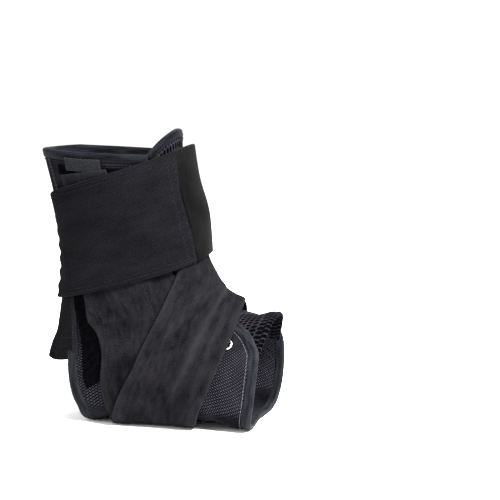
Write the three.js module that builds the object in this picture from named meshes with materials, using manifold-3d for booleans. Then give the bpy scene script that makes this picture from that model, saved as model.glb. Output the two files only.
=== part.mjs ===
// Lace-up ankle brace with two crossing stabiliser straps and an elastic cuff, laid out for the right side.
// Millimetres. +X points to the front opening, -Y to the outer (lateral) side, +Z up.
// It stands on the flat underside of the over strap: z = 0, with the origin at the middle of that strap.
import * as THREE from "three";
import Module from "manifold-3d";

const wasm = await Module();
wasm.setup();
const { Manifold, Mesh: SolidMesh } = wasm;

// Sizes of the whole brace.
const RIM_HEIGHT = 175; // floor to the rim at the front of the boot
const SOLE_REACH = 150; // unit of every x column in FORM
const BRACE_WIDTH = 78; // unit of every half width column in FORM
const GAP = 0.4; // left between two neighbouring pieces

// Cloth thicknesses.
const PANEL = 2.0;
const PILE = 0.9;
const NAP = 0.15; // fibres standing over the pile
const STRAP = 1.3;
const CUFF = 2.0;
const TAB = 1.8;
const TONGUE = 2.6;
const LACE = 1.1;
const TAPE = 3.0; // rolled binding tape, measured through the edge it covers

// Widths.
const STRAP_WIDTH = 50;
const CUFF_WIDTH = 71;
const TAPE_WIDTH = 4.5;
const HEEL_TAPE_WIDTH = 6.5;
const LACE_WIDTH = 4;
const EYELET_OUTER = 3.5; // radius
const EYELET_HOLE = 2.0; // radius

// How far cloth stands off or bulges.
const TONGUE_FLARE = 5; // front tip of the tongue over its lie under the lace
const TAB_FLARE = 0.3; // lower front corner of the tab
const RUFFLE = 4.2; // gathered hem at the back
const SCALLOP = 0.9; // gathers of the cuff over the back
const ROOM = 0.75; // air where straps cross on a doubly curved place
const DRAPE = 8; // length over which a strap comes down beside a lower one
const DRAPE_FROM = 4; // and how far from the lower one's edge it starts to
const SOLE_FLATTEN = 1.0; // how deep the round underside is pressed flat by the floor
const SETTLE = 0.15; // how much the two straps are pressed together where it stands

const STACK = 2 * (GAP + STRAP) - SETTLE; // room for two straps under the sole

const names = (header) => header.trim().split(/\s+/);
const table = (header, rows) => rows.map((row) => Object.fromEntries(names(header).map((n, i) => [n, row[i]])));

const lerp = (a, b, t) => a + (b - a) * t;
const clamp = (t) => Math.min(1, Math.max(0, t));
const smooth = (t) => clamp(t) * clamp(t) * (3 - 2 * clamp(t));

// The inner surface of the boot as slanted stations: each runs from a front point to a back (later: sole) point.
// x in shares of SOLE_REACH, z in shares of RIM_HEIGHT, half_width in shares of BRACE_WIDTH. centre is where
// along the station it is widest. The squares are superellipse powers.
const FORM = table("front_x front_z back_x back_z half_width centre front_square back_square", [
  [0.053, 1.143, -0.567, 1.12, 0.52, 0.5, 2.1, 2.2],
  [0.073, 1.017, -0.533, 0.994, 0.5, 0.5, 2.1, 2.2],
  [0.095, 0.891, -0.49, 0.834, 0.465, 0.5, 2.1, 2.2],
  [0.113, 0.766, -0.453, 0.674, 0.44, 0.5, 2.1, 2.2],
  [0.118, 0.669, -0.445, 0.537, 0.445, 0.5, 2.1, 2.2],
  [0.125, 0.587, -0.466, 0.389, 0.48, 0.48, 2.1, 2.2],
  [0.163, 0.521, -0.492, 0.229, 0.485, 0.48, 2.1, 2.3],
  [0.21, 0.464, -0.495, 0.046, 0.47, 0.5, 2.1, 2.6],
  [0.266, 0.43, -0.3, 0, 0.47, 0.6, 2.1, 4.4],
  [0.33, 0.411, -0.067, 0, 0.48, 0.66, 2.0, 3.6],
  [0.393, 0.405, 0.175, 0, 0.5, 0.68, 2.0, 3.6],
  [0.465, 0.395, 0.433, 0, 0.525, 0.7, 2.0, 3.6],
  [0.545, 0.375, 0.56, 0, 0.54, 0.7, 2.0, 3.6],
]);
// Stations between which the sole is lifted to make room for the straps, and over how many stations it rises.
const [ARCH_START, ARCH_END, ARCH_RISE] = [8.04, 10.5, 0.32];

// Catmull-Rom through the rows of a table, one unit of t for each row.
function between(rows, t) {
  const last = rows.length - 1;
  const at = Math.min(Math.max(t, 0), last - 1e-9);
  const i = Math.floor(at);
  const s = at - i;
  const row = (k) => rows[Math.min(Math.max(i + k, 0), last)];
  const [a, b, c, d] = [row(-1), row(0), row(1), row(2)];
  const out = {};
  for (const key of Object.keys(b))
    out[key] =
      0.5 *
      (2 * b[key] +
        (c[key] - a[key]) * s +
        (2 * a[key] - 5 * b[key] + 4 * c[key] - d[key]) * s * s +
        (3 * b[key] - a[key] - 3 * c[key] + d[key]) * s * s * s);
  return out;
}

// Point of the form at a station number and an angle in degrees: 0 front, 90 lateral, 180 back or sole.
function point(station, angle) {
  const f = between(FORM, station);
  const arch = smooth((station - ARCH_START) / ARCH_RISE) * smooth((ARCH_END - station) / ARCH_RISE);
  const floor = PANEL + arch * STACK;
  const a = THREE.MathUtils.degToRad(angle);
  const [cos, sin] = [Math.cos(a), Math.sin(a)];
  const power = cos >= 0 ? f.front_square : f.back_square;
  const rho = (Math.abs(cos) ** power + Math.abs(sin) ** power) ** (-1 / power);
  const share = cos >= 0 ? f.centre * (1 - rho * cos) : f.centre - (1 - f.centre) * rho * cos;
  const back_z = f.back_z * RIM_HEIGHT + floor - SOLE_FLATTEN;
  return new THREE.Vector3(
    lerp(f.front_x, f.back_x, share) * SOLE_REACH,
    -f.half_width * BRACE_WIDTH * rho * sin,
    Math.max(lerp(f.front_z * RIM_HEIGHT, back_z, share), floor),
  );
}

// The two directions of the form at a place, per station and per degree, and its outward normal.
function slopes(station, angle) {
  const along = point(station + 0.02, angle).sub(point(station - 0.02, angle)).divideScalar(0.04);
  const round = point(station, angle + 1).sub(point(station, angle - 1)).divideScalar(2);
  return { along, round, normal: new THREE.Vector3().crossVectors(round, along).normalize() };
}

// Place at a height over the form, never under the floor.
function over(place, height) {
  const p = point(place.station, place.angle).addScaledVector(slopes(place.station, place.angle).normal, height);
  p.z = Math.max(p.z, 0);
  return p;
}

// Walks over the form from a place, some millimetres in a direction.
function walk(place, direction, distance) {
  const steps = Math.max(1, Math.ceil(Math.abs(distance) / 4));
  let { station, angle } = place;
  for (let k = 0; k < steps; k++) {
    const { along, round, normal } = slopes(station, angle);
    const way = direction.clone().addScaledVector(normal, -direction.dot(normal)).normalize();
    way.multiplyScalar(distance / steps);
    const [aa, ar, rr] = [along.dot(along), along.dot(round), round.dot(round)];
    const det = aa * rr - ar * ar;
    station += (rr * along.dot(way) - ar * round.dot(way)) / det;
    angle += (aa * round.dot(way) - ar * along.dot(way)) / det;
  }
  return { station, angle };
}

// A path over the form, resampled into equal steps that are shorter where it bends.
const BEND_WEIGHT = 18; // millimetres of path that a radian of bend counts for
function resample(path, count) {
  const dense = [];
  for (let k = 0; k <= 240; k++) dense.push(between(path, (k / 240) * (path.length - 1)));
  const spots = dense.map((d) => ({ p: point(d.station, d.angle), n: slopes(d.station, d.angle).normal }));
  const run = [0];
  for (let k = 1; k < spots.length; k++)
    run.push(run[k - 1] + spots[k].p.distanceTo(spots[k - 1].p) + BEND_WEIGHT * spots[k].n.distanceTo(spots[k - 1].n));
  const out = [];
  let k = 0;
  for (let i = 0; i < count; i++) {
    const want = (run[run.length - 1] * i) / (count - 1);
    while (k < run.length - 2 && run[k + 1] < want) k++;
    const t = clamp((want - run[k]) / (run[k + 1] - run[k]));
    out.push(Object.fromEntries(Object.keys(dense[k]).map((key) => [key, lerp(dense[k][key], dense[k + 1][key], t)])));
  }
  return out;
}

// Directions square to a line of places, in the surface, to the left of its run seen from outside.
function sides(line) {
  const spots = line.map((place) => point(place.station, place.angle));
  return line.map((place, i) => {
    const run = spots[Math.min(i + 1, line.length - 1)].clone().sub(spots[Math.max(i - 1, 0)]);
    return new THREE.Vector3().crossVectors(slopes(place.station, place.angle).normal, run).normalize();
  });
}

// A direction turned in the surface by the place's own lean in degrees.
const leaning = (place, direction) =>
  direction
    .clone()
    .applyAxisAngle(slopes(place.station, place.angle).normal, THREE.MathUtils.degToRad(place.lean ?? 0));

// Grid of places: one row for each place of the line, columns spread over its width.
function ribbon(line, width, columns) {
  const across = sides(line);
  return line.map((place, i) =>
    Array.from({ length: columns }, (_, j) =>
      walk(place, leaning(place, across[i]), (0.5 - j / (columns - 1)) * width * place.width),
    ),
  );
}

// Strip beside a line of places, from one distance to another.
function strip(line, near, far) {
  const across = sides(line);
  return line.map((place, i) => [walk(place, across[i], near), walk(place, across[i], far)]);
}

// Closed sheet over a grid of places, between two heights given as functions of the place.
function sheet(grid, low, high) {
  const [rows, columns] = [grid.length, grid[0].length];
  const positions = [];
  for (const height of [high, low])
    for (const [i, row] of grid.entries())
      for (const [j, place] of row.entries()) positions.push(...over(place, height(place, i, j)).toArray());
  const id = (side, i, j) => side * rows * columns + i * columns + j;
  const faces = [];
  const quad = (a, b, c, d) => faces.push(a, b, c, a, c, d);
  for (let i = 0; i < rows - 1; i++)
    for (let j = 0; j < columns - 1; j++) {
      quad(id(0, i, j), id(0, i + 1, j), id(0, i + 1, j + 1), id(0, i, j + 1));
      quad(id(1, i, j), id(1, i, j + 1), id(1, i + 1, j + 1), id(1, i + 1, j));
    }
  for (let i = 0; i < rows - 1; i++) {
    quad(id(0, i, 0), id(1, i, 0), id(1, i + 1, 0), id(0, i + 1, 0));
    quad(id(0, i, columns - 1), id(0, i + 1, columns - 1), id(1, i + 1, columns - 1), id(1, i, columns - 1));
  }
  for (let j = 0; j < columns - 1; j++) {
    quad(id(0, 0, j), id(0, 0, j + 1), id(1, 0, j + 1), id(1, 0, j));
    quad(id(0, rows - 1, j), id(1, rows - 1, j), id(1, rows - 1, j + 1), id(0, rows - 1, j + 1));
  }
  return closed(positions, faces);
}

// Geometry with its faces turned outward.
function closed(positions, faces) {
  const corner = (k) => new THREE.Vector3().fromArray(positions, 3 * faces[k]);
  let volume = 0;
  for (let k = 0; k < faces.length; k += 3) volume += corner(k).dot(corner(k + 1).cross(corner(k + 2)));
  if (volume < 0) for (let k = 0; k < faces.length; k += 3) [faces[k + 1], faces[k + 2]] = [faces[k + 2], faces[k + 1]];
  return new THREE.BufferGeometry()
    .setAttribute("position", new THREE.Float32BufferAttribute(positions, 3))
    .setIndex(faces);
}

const solid = (geometry) =>
  new Manifold(
    new SolidMesh({
      numProp: 3,
      vertProperties: new Float32Array(geometry.attributes.position.array),
      triVerts: new Uint32Array(geometry.index.array),
    }),
  );

function geometryOf(body) {
  const mesh = body.getMesh();
  return new THREE.BufferGeometry()
    .setAttribute("position", new THREE.Float32BufferAttribute(mesh.vertProperties, 3))
    .setIndex(new THREE.Uint32BufferAttribute(mesh.triVerts, 1));
}

const mirrored = (place) => ({ ...place, angle: -place.angle });
const mirrorGrid = (grid) => grid.map((row) => row.map(mirrored));

// The side panel, from its eyelet edge to the rear seam, the edge of the heel opening and the sole seam.
const PANEL_COLUMNS = 13;
const PANEL_EDGES = table("front_station front_angle rear_station rear_angle", [
  [1.44, 51, 1.17, 139],
  [2.0, 45, 2.0, 138],
  [3.1, 41, 3.1, 137],
  [3.8, 39, 3.8, 134.5],
  [4.45, 37, 4.45, 130],
  [4.9, 36, 4.9, 126.5],
  [5.4, 35, 5.4, 122.5],
  [6.0, 33, 5.95, 119],
  [6.65, 32, 6.55, 117],
  [7.1, 32, 6.92, 117],
  [7.6, 32, 7.32, 121],
  [8.0, 32, 7.7, 130],
  [8.35, 32, 7.95, 150],
  [8.7, 33, 8.08, 180],
  [9.05, 33.5, 8.37, 180],
  [9.4, 35, 9.05, 180],
  [9.88, 38, 9.62, 180],
  [10.35, 44, 10.15, 180],
  [10.72, 53, 10.76, 180],
]);
const PANEL_ROWS = PANEL_EDGES.length;
const SOLE_SEAM = 179.7; // degrees
const FRONT_BULGE = 0.14; // stations by which the lower front edge stands forward between its ends

function panelGrid() {
  const grid = [];
  for (let i = 0; i < PANEL_ROWS; i++) {
    const t = i / (PANEL_ROWS - 1);
    const e = between(PANEL_EDGES, t * (PANEL_EDGES.length - 1));
    e.rear_angle = Math.min(e.rear_angle, SOLE_SEAM);
    const bulge = FRONT_BULGE * smooth((t - 0.82) / 0.18);
    const row = [0, 0.25, 0.5, 0.75, 1].map((s) => ({
      station: lerp(e.front_station, e.rear_station, s) + bulge * Math.sin(Math.PI * Math.sqrt(s)),
      angle: lerp(e.front_angle, e.rear_angle, s),
    }));
    grid.push(resample(row, PANEL_COLUMNS));
  }
  return grid;
}
const PANEL_GRID = panelGrid();

// Eyelets, nine millimetres or so inside the eyelet edge.
const EYELETS = table("station angle", [
  [3.0, 55],
  [4.4, 50],
  [6.1, 46],
  [8.0, 45],
  [9.88, 52],
]);

// Frame that stands on the form at a place: X along the station line, Z outward.
function standing(place, height) {
  const { along, normal } = slopes(place.station, place.angle);
  const x = along.clone().addScaledVector(normal, -along.dot(normal)).normalize();
  const y = new THREE.Vector3().crossVectors(normal, x);
  return new THREE.Matrix4()
    .makeBasis(x, y, normal)
    .setPosition(point(place.station, place.angle).addScaledVector(normal, height));
}

function sidePanel(side) {
  const grid = side > 0 ? PANEL_GRID : mirrorGrid(PANEL_GRID);
  let body = solid(
    sheet(
      grid,
      () => 0,
      () => PANEL,
    ),
  );
  for (const eyelet of EYELETS) {
    const place = side > 0 ? eyelet : mirrored(eyelet);
    const hole = Manifold.cylinder(4 * PANEL, EYELET_OUTER + GAP, EYELET_OUTER + GAP, 10, true);
    body = body.subtract(hole.transform(standing(place, PANEL / 2).toArray()));
  }
  return geometryOf(body);
}

// Ring pressed into its hole in the panel.
const EYELET_SIDES = 10;
const EYELET_PROUD = 0.45;
function eyeletRing(place) {
  const profile = table("radius height", [
    [EYELET_HOLE, -0.3],
    [EYELET_OUTER, -0.3],
    [EYELET_OUTER, PANEL + EYELET_PROUD],
    [EYELET_HOLE, PANEL + EYELET_PROUD],
  ]);
  const frame = standing(place, 0);
  const [positions, faces] = [[], []];
  for (let k = 0; k < EYELET_SIDES; k++) {
    const a = (2 * Math.PI * k) / EYELET_SIDES;
    for (const c of profile)
      positions.push(
        ...new THREE.Vector3(c.radius * Math.cos(a), c.radius * Math.sin(a), c.height).applyMatrix4(frame).toArray(),
      );
  }
  for (let k = 0; k < EYELET_SIDES; k++)
    for (let j = 0; j < profile.length; j++) {
      const [next, turn] = [(j + 1) % profile.length, ((k + 1) % EYELET_SIDES) * profile.length];
      const here = k * profile.length;
      faces.push(here + j, turn + j, turn + next, here + j, turn + next, here + next);
    }
  return closed(positions, faces);
}

// The elastic panel between the two rear seams, ending in a gathered hem over the heel opening.
const REAR_ROWS = 15;
const REAR_COLUMNS = 10;
const SEAM_STEP = 0.9; // degrees between the side panel and the rear panel
const HEM_STATION = 6.4;
const HEM_RISE = 0.28; // stations by which the hem is higher at the back
const REAR_SIDE = table("station angle", [
  [1.17, 139],
  [2.0, 138],
  [3.2, 137],
  [4.3, 131],
  [5.2, 124],
  [HEM_STATION, 117.3],
]);
function rearGrid() {
  return resample(REAR_SIDE, REAR_ROWS).map((side) => {
    const from = side.angle + SEAM_STEP;
    const rise = HEM_RISE * smooth((side.station - 4.8) / (HEM_STATION - 4.8));
    return Array.from({ length: REAR_COLUMNS }, (_, j) => {
      const s = j / (REAR_COLUMNS - 1);
      return { station: side.station - rise * Math.sin(Math.PI * s), angle: lerp(from, 360 - from, s) };
    });
  });
}
const REAR_GRID = rearGrid();
function ruffle(place, i, j) {
  const low = smooth((place.station - 5.45) / 0.6);
  const back = smooth((place.angle - 125) / 35) * smooth((235 - place.angle) / 35);
  return RUFFLE * low * back * (j % 2 ? 0.72 : 1);
}

// Loop pile for the straps and the cuff to grip, on each side.
const PILE_ROWS = 10;
const PILE_COLUMNS = 8;
const PILE_EDGES = table("front_station front_angle rear_station rear_angle", [
  [1.54, 70, 1.36, 127],
  [3.0, 66, 3.0, 128],
  [4.6, 66, 4.7, 126],
  [6.0, 74, 5.8, 117],
  [6.9, 84, 6.6, 114],
  [7.5, 94, 7.3, 116],
]);
function pileGrid() {
  const grid = [];
  for (let i = 0; i < PILE_ROWS; i++) {
    const e = between(PILE_EDGES, (i / (PILE_ROWS - 1)) * (PILE_EDGES.length - 1));
    const ends = [0, 0.5, 1].map((s) => ({
      station: lerp(e.front_station, e.rear_station, s),
      angle: lerp(e.front_angle, e.rear_angle, s),
    }));
    grid.push(resample(ends, PILE_COLUMNS));
  }
  return grid;
}

// One stabiliser strap: from the front of the inner side over the instep, down the outer side, under the
// sole and up the inner side to its end above the cuff. The other one is its mirror image.
const STRAP_STEPS = 54;
const STRAP_COLUMNS = 7;
const STRAP_PATH = table("station angle width", [
  [4.2, -18, 0.64],
  [4.85, -11, 0.78],
  [5.55, -3, 0.95],
  [6.25, 7, 1],
  [6.85, 20, 1],
  [7.5, 36, 1],
  [8.15, 54, 1],
  [8.62, 72, 1],
  [8.95, 90, 1],
  [9.12, 112, 1],
  [9.2, 140, 1],
  [9.28, 180, 1],
  [9.2, 220, 1],
  [8.9, 246, 1],
  [8.3, 267, 1],
  [7.5, 281, 1],
  [6.64, 287, 1],
  [5.8, 285.5, 1.12],
  [4.9, 278.5, 1.06],
  [3.8, 268, 0.88],
  [2.8, 262, 0.76],
  [2.1, 258, 0.66],
  [1.56, 255.5, 0.6],
]);
const OVER_LINE = resample(STRAP_PATH, STRAP_STEPS);
const UNDER_LINE = OVER_LINE.map(mirrored);

// Share of a strap that lies under a point: 1 over the strap, 0 from DRAPE beyond its edge.
const spine = (line) => line.map((place) => ({ p: over(place, PANEL + PILE + STRAP), half: place.width / 2 }));
const OVER_SPINE = spine(OVER_LINE);
const UNDER_SPINE = spine(UNDER_LINE);
function covered(track, p) {
  let nearest = Infinity;
  const [foot, segment] = [new THREE.Vector3(), new THREE.Line3()];
  for (let k = 0; k < track.length - 1; k++) {
    segment.set(track[k].p, track[k + 1].p).closestPointToPoint(p, true, foot);
    nearest = Math.min(nearest, foot.distanceTo(p) - STRAP_WIDTH * track[k].half);
  }
  return 1 - smooth((nearest - DRAPE_FROM) / DRAPE);
}

// Height of the first layer over the panels and their pile; bare panel at the back and under the sole.
const STEP = STRAP + GAP;
const sole = (place) => smooth((-slopes(place.station, place.angle).normal.z - 0.82) / 0.15);
function ground(place) {
  const turn = Math.abs(((place.angle + 540) % 360) - 180);
  const back = place.station < 6.5 ? smooth((150 - turn) / 20) : 1;
  return PANEL + GAP + (PILE + NAP + GAP) * back * (1 - sole(place));
}
const step = (place, spine) =>
  (STEP + ROOM * (1 - sole(place))) * covered(spine, over(place, PANEL + PILE + STRAP));
const onUnder = (place) => step(place, UNDER_SPINE);
const onOver = (place) => step(place, OVER_SPINE);

const memo = (measure) => {
  const known = new Map();
  return (place) => {
    if (!known.has(place)) known.set(place, measure(place));
    return known.get(place);
  };
};
const underBase = memo(ground);
const overBase = memo((place) => ground(place) + onUnder(place));
const cuffBase = memo((place) => ground(place) + onUnder(place) + onOver(place));

// Short hook tab that goes on from the end of each strap.
const HOOK_TAB = 0.8;
const HOOK_PATH = table("station angle width", [
  [1.39, 255.4, 0.52],
  [1.36, 255.7, 0.5],
  [1.27, 256.2, 0.5],
]);

// The elastic cuff starts on the inner side, goes round the back and ends at the front seam of the tab.
const CUFF_STEPS = 42;
const CUFF_COLUMNS = 7;
const CUFF_PATH = table("station angle width lean", [
  [2.92, 300, 1, 0],
  [3.02, 280, 1, 0],
  [3.14, 255, 0.99, 0],
  [3.26, 225, 0.98, 0],
  [3.3, 200, 0.97, 0],
  [3.3, 180, 0.97, 0],
  [3.3, 160, 0.97, 0],
  [3.26, 135, 0.98, 0],
  [3.19, 112, 0.99, 0],
  [3.1, 90, 1, -1],
  [3.01, 70, 1.01, -3],
  [2.92, 50, 1.02, -6],
  [2.8, 28.5, 1.03, -9],
]);
const TAB_STEPS = 16;
const TAB_PATH = table("station angle width lean", [
  [2.8, 28.5, 1.03, -9],
  [2.7, 14, 1.03, -8],
  [2.64, -4, 1.02, -4],
  [2.66, -28, 1, 0],
  [2.74, -52, 0.95, 0],
  [2.84, -74, 0.88, 0],
]);
const CUFF_LINE = resample(CUFF_PATH, CUFF_STEPS);
const BAND_GRID = ribbon([...CUFF_LINE, ...resample(TAB_PATH, TAB_STEPS).slice(1)], CUFF_WIDTH, CUFF_COLUMNS);
const CUFF_GRID = BAND_GRID.slice(0, CUFF_STEPS);
const SEAM_ROW = CUFF_GRID[CUFF_STEPS - 1];
const onward = (a, b) => point(b.station, b.angle).sub(point(a.station, a.angle)).normalize();
const TAB_GRID = [
  SEAM_ROW.map((place, j) => walk(place, onward(place, BAND_GRID[CUFF_STEPS][j]), GAP)),
  ...BAND_GRID.slice(CUFF_STEPS),
];
// Gathers of the cuff where it goes over the back, deepest toward its lower edge.
function gathers(place, i, j) {
  const turn = Math.abs(((place.angle + 540) % 360) - 180);
  const back = smooth((turn - 148) / 20);
  const low = smooth((place.station - 2.2) / 1.2);
  return SCALLOP * back * low * (j % 2 ? 0 : 1);
}
// The tab stands off over the start of the cuff and flares at its lower front corner.
function tabLift(place) {
  const start = smooth((-place.angle - 26) / 10) * (CUFF + GAP + ROOM);
  const corner = smooth((place.station - 3.2) / 1.4) * smooth((28 - place.angle) / 20) * smooth((place.angle + 30) / 24);
  return start + TAB_FLARE * corner;
}
const tabBase = memo((place) => cuffBase(place) + tabLift(place));

// The tongue lies under the lace and flares forward at its tip.
const TONGUE_TOP = -2.4;
const TONGUE_ROWS = 19;
const TONGUE_COLUMNS = 11;
const TONGUE_SIDES = table("station crown half_angle", [
  [1.42, 0.64, 46],
  [2.2, 0.1, 54],
  [3.2, 0, 56],
  [4.4, 0, 56],
  [5.6, 0, 56],
  [6.8, 0, 55],
  [8.0, 0, 54],
  [9.2, 0, 54],
  [10.2, 0, 55],
  [10.95, -0.38, 54],
]);
function tongueGrid() {
  return resample(
    TONGUE_SIDES.map((row) => ({ ...row, angle: 0 })),
    TONGUE_ROWS,
  ).map((row) =>
    Array.from({ length: TONGUE_COLUMNS }, (_, j) => {
      const s = 1 - (2 * j) / (TONGUE_COLUMNS - 1);
      return { station: row.station - row.crown * (1 - s * s), angle: s * row.half_angle };
    }),
  );
}
const TONGUE_GRID = tongueGrid();
function tongueLie(place) {
  const tip = smooth((place.station - 9.9) / 1.4) * smooth((48 - Math.abs(place.angle)) / 26);
  const crown = smooth((1.3 - place.station) / 0.8) * smooth((40 - Math.abs(place.angle)) / 25);
  return TONGUE_TOP + TONGUE_FLARE * tip + crown;
}

// One flat lace under the eyelet edges, crossing over the tongue from pair to pair.
const LACE_STEPS = 46;
function lacePath() {
  const turns = EYELETS.slice(0, 4).reverse();
  const path = [];
  for (const [k, turn] of turns.entries()) {
    const side = k % 2 ? -1 : 1;
    path.push({ station: turn.station, angle: side * (turn.angle - 3), width: 1 });
    path.push({ station: turn.station - 0.35, angle: side * (turn.angle - 9), width: 1 });
    path.push({ station: turn.station - 0.8, angle: 0, width: 1 });
  }
  path.pop();
  return path;
}

const group = new THREE.Group();
const CLOTH = 0.85;
function add(name, geometry, color, roughness = CLOTH, metalness = 0) {
  const mesh = new THREE.Mesh(geometry, new THREE.MeshStandardMaterial({ color, roughness, metalness }));
  mesh.name = name;
  mesh.material.name = name;
  group.add(mesh);
  return mesh;
}

for (const [side, name] of [
  [1, "lateral"],
  [-1, "medial"],
]) {
  const turned = (grid) => (side > 0 ? grid : mirrorGrid(grid));
  add(`${name}_panel`, sidePanel(side), 0x2a2b2e);
  add(
    `${name}_loop_pile`,
    sheet(
      turned(pileGrid()),
      () => PANEL + GAP,
      () => PANEL + GAP + PILE,
    ),
    0x16171a,
    0.95,
  );
  const front = [...PANEL_GRID.map((row) => row[0]), ...PANEL_GRID[PANEL_ROWS - 1].slice(1)];
  const tape = strip(front, GAP, GAP + TAPE_WIDTH).map((row) =>
    row.map((p) => ({ ...p, angle: Math.min(p.angle, SOLE_SEAM) })),
  );
  add(
    `${name}_front_binding`,
    sheet(
      turned(tape),
      () => (PANEL - TAPE) / 2,
      () => (PANEL + TAPE) / 2,
    ),
    0x2c2e33,
  );
  for (const [k, eyelet] of EYELETS.entries())
    add(`${name}_eyelet_${k + 1}`, eyeletRing(side > 0 ? eyelet : mirrored(eyelet)), 0xc9cacd, 0.3, 1);
}

add(
  "rear_elastic_panel",
  sheet(REAR_GRID, ruffle, (p, i, j) => PANEL + ruffle(p, i, j)),
  0x2d2f33,
);

const rim = [
  ...PANEL_GRID[0],
  ...REAR_GRID[0].slice(1, -1),
  ...PANEL_GRID[0].map((p) => ({ station: p.station, angle: 360 - p.angle })).reverse(),
];
add(
  "top_binding",
  sheet(
    strip(rim, -GAP, -GAP - TAPE_WIDTH),
    () => (PANEL - TAPE) / 2,
    () => (PANEL + TAPE) / 2,
  ),
  0x2c2e33,
);

const heelEdge = PANEL_GRID.map((row) => row[PANEL_COLUMNS - 1]).filter(
  (p) => p.station > 6.42 && p.station < 8.3 && p.angle < 179,
);
const heel = [...heelEdge, { station: 8.09, angle: 180 }, ...heelEdge.map((p) => ({ station: p.station, angle: 360 - p.angle })).reverse()];
add(
  "heel_binding",
  sheet(
    strip(heel, -GAP, -GAP - HEEL_TAPE_WIDTH),
    () => (PANEL - TAPE) / 2,
    () => (PANEL + TAPE) / 2,
  ),
  0x34373d,
);

add(
  "under_strap",
  sheet(
    ribbon(UNDER_LINE, STRAP_WIDTH, STRAP_COLUMNS),
    underBase,
    (p) => underBase(p) + STRAP,
  ),
  0x26262a,
);
add(
  "over_strap",
  sheet(
    ribbon(OVER_LINE, STRAP_WIDTH, STRAP_COLUMNS),
    overBase,
    (p) => overBase(p) + STRAP,
  ),
  0x28282b,
);
for (const [name, turned] of [
  ["medial", (p) => p],
  ["lateral", mirrored],
])
  add(
    `${name}_hook_tab`,
    sheet(
      ribbon(resample(HOOK_PATH, 3).map(turned), STRAP_WIDTH, 5),
      () => PANEL + PILE + 2 * GAP,
      () => PANEL + PILE + 2 * GAP + HOOK_TAB,
    ),
    0x45464a,
  );

add(
  "cuff_band",
  sheet(
    CUFF_GRID,
    (p, i, j) => cuffBase(p) + gathers(p, i, j),
    (p, i, j) => cuffBase(p) + gathers(p, i, j) + CUFF,
  ),
  0x26272a,
);
add(
  "cuff_tab",
  sheet(
    TAB_GRID,
    tabBase,
    (p) => tabBase(p) + TAB,
  ),
  0x2a2727,
  0.6,
);

add(
  "tongue",
  sheet(TONGUE_GRID, (p) => tongueLie(p) - TONGUE, tongueLie),
  0x1b1c1f,
);
const tongueTop = TONGUE_GRID[0];
add(
  "tongue_binding",
  sheet(
    strip(tongueTop, GAP, GAP + TAPE_WIDTH),
    (p) => tongueLie(p) - TONGUE - 0.3,
    (p) => tongueLie(p) + 0.3,
  ),
  0x26272b,
);

add(
  "lace",
  sheet(
    ribbon(resample(lacePath(), LACE_STEPS), LACE_WIDTH, 2),
    () => (PANEL - TAPE) / 2 - GAP - LACE,
    () => (PANEL - TAPE) / 2 - GAP,
  ),
  0x1d1d20,
);

export default group;
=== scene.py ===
"""Looks of the lace-up ankle brace: cloth, mesh, pile, tape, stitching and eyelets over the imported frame.

Lengths are in millimetres until a mesh is made. Every cloth piece is laid over the same form as the part:
a place is a station along the boot and an angle round it, and a layer is a height over the form.
The tables are the part's, but for the straps, the heel edge and the hook patches. Those follow the photo
more closely and lie up to five millimetres from the part's.
"""

import math

import bpy
import numpy as np
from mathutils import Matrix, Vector


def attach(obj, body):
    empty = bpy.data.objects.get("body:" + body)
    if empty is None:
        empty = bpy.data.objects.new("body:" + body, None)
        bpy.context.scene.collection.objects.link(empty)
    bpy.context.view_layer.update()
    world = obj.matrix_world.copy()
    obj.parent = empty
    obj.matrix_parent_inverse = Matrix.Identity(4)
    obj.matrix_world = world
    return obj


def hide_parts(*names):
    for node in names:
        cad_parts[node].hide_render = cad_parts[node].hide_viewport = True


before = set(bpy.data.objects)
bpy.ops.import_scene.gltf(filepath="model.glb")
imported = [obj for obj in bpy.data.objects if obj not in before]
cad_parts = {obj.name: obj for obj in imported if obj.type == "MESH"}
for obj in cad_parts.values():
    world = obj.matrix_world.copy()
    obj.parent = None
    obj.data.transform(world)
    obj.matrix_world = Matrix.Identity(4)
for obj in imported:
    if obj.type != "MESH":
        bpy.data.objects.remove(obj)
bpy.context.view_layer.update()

# Size of the boot
RIM_HEIGHT = 175
SOLE_REACH = 150
BRACE_WIDTH = 78
# Thickness of each layer, the gap between layers, and room for a wrapped one
PANEL = 2.0
PILE = 0.9
NAP = 0.15
HOOKS = 0.9
STRAP = 1.3
CUFF = 2.0
TAB = 1.8
TONGUE = 2.6
LACE = 1.1
TAPE = 3.0
GAP = 0.4
ROOM = 0.75
# Widths of bands
STRAP_WIDTH = 50
CUFF_WIDTH = 71
TAPE_WIDTH = 4.5
HEEL_TAPE_WIDTH = 6.5
LACE_WIDTH = 4
# How far a layer hangs beside a strap under it
DRAPE = 8
DRAPE_FROM = 4
# The sole, and the stations between which both straps pass under it
SOLE_FLATTEN = 1.0
SOLE_SEAM = 179.7
STACK = 2 * (GAP + STRAP) - 0.15
STEP = STRAP + GAP
ARCH_START, ARCH_END, ARCH_RISE = 8.04, 10.62, 0.32
# Height of the gathers at the rear hem and at the cuff's lower edge
RUFFLE = 3.2
SCALLOP = 1.1
# A tape is centred on the panel's thickness
TAPE_LOW, TAPE_HIGH = (PANEL - TAPE) / 2, (PANEL + TAPE) / 2
TAPE_STEP, TAPE_EDGE = 1.4, 1.2
TAPE_OUTSIDE = 1.5
STITCH_HEIGHT = PANEL + 0.12
MILLIMETRE = 0.001
TURN = 2 * math.pi
SIDES = (("lateral", 1), ("medial", -1))

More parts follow.
